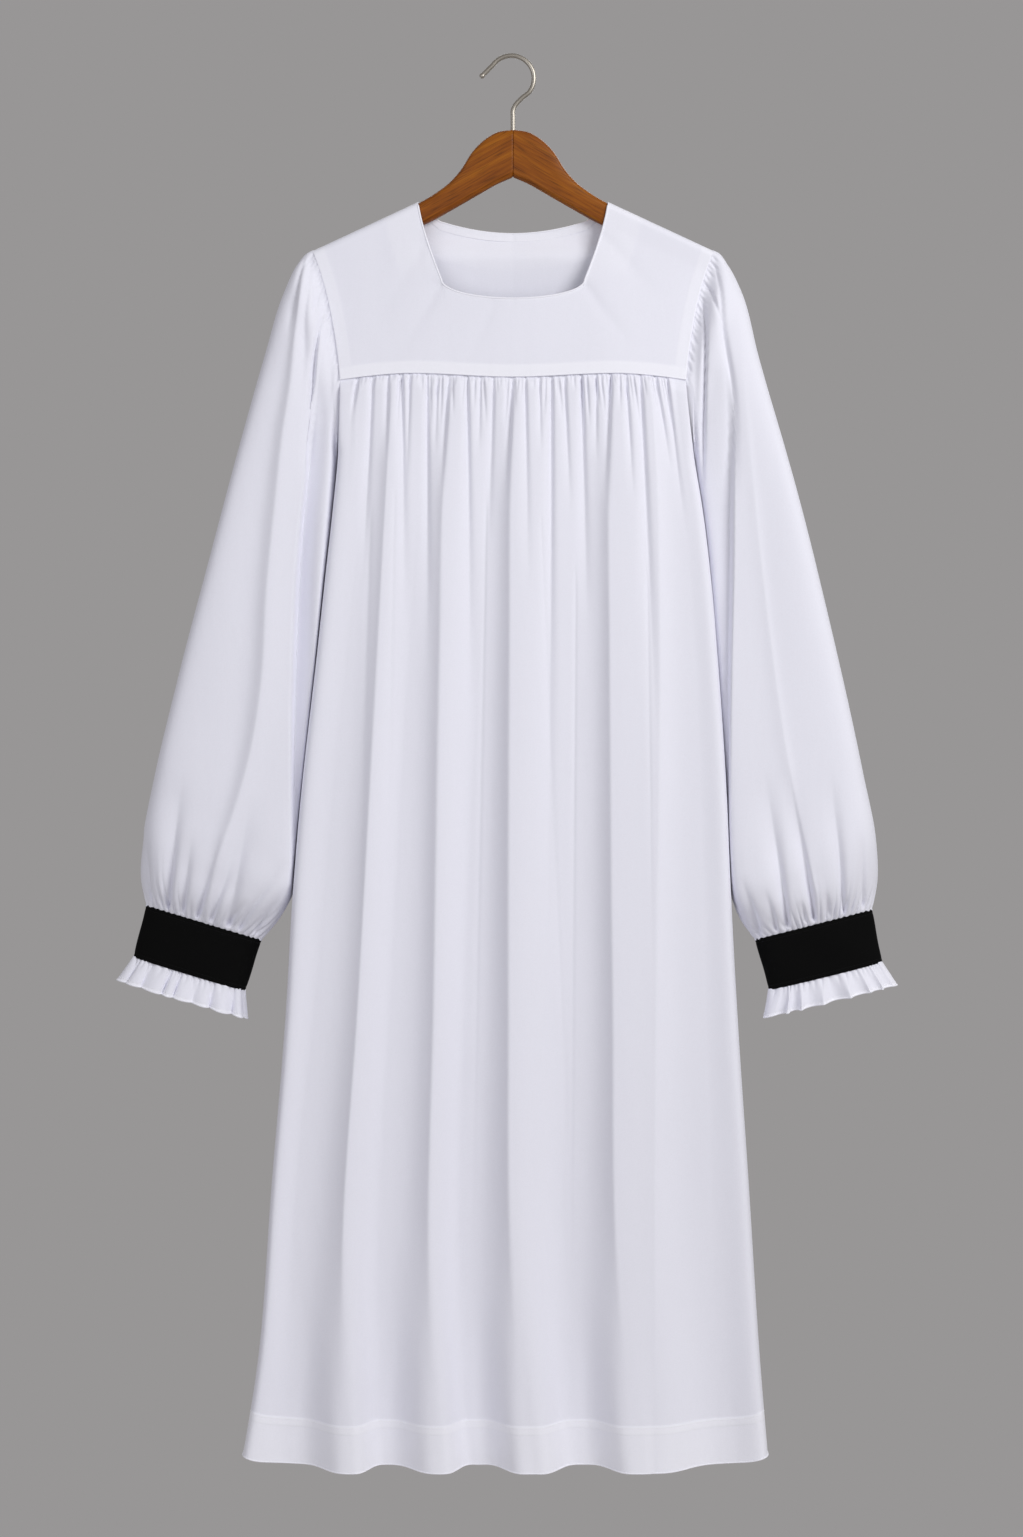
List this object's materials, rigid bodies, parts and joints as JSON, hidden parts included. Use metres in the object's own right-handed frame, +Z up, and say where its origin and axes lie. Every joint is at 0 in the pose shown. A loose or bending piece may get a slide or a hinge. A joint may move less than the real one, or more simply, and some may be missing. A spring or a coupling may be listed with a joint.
{
  "type": "rochet on a clothes hanger",
  "caption": "White knee-length vestment with square-necked yoke, gathered body, full sleeves, dark wrist bands and frills, on a wooden hanger.",
  "frame": {"origin": "inside of the crown of the hanger's hook, where a rail or peg holds it", "axes": "+Z up, -Y out of the garment's front, +X to the right seen from the front"},
  "size_m": [0.8284, 0.1471, 1.4901],
  "materials": {
    "white_cotton": "plain-weave white cotton blend, matte with a faint sheen",
    "black_cotton": "plain black cotton, matte",
    "wood": "warm brown stained hardwood, satin lacquer",
    "wire": "nickel-plated steel wire"
  },
  "bodies": {
    "root": {"body_front": "white_cotton", "body_back": "white_cotton", "yoke_front": "white_cotton", "yoke_back": "white_cotton", "neck_facing": "white_cotton", "sleeve_left": "white_cotton", "sleeve_right": "white_cotton", "cuff_left": "black_cotton", "cuff_right": "black_cotton", "frill_left": "white_cotton", "frill_right": "white_cotton", "hanger_arm_left": "wood", "hanger_arm_right": "wood", "hanger_hook": "wire"}
  },
  "joints": []
}
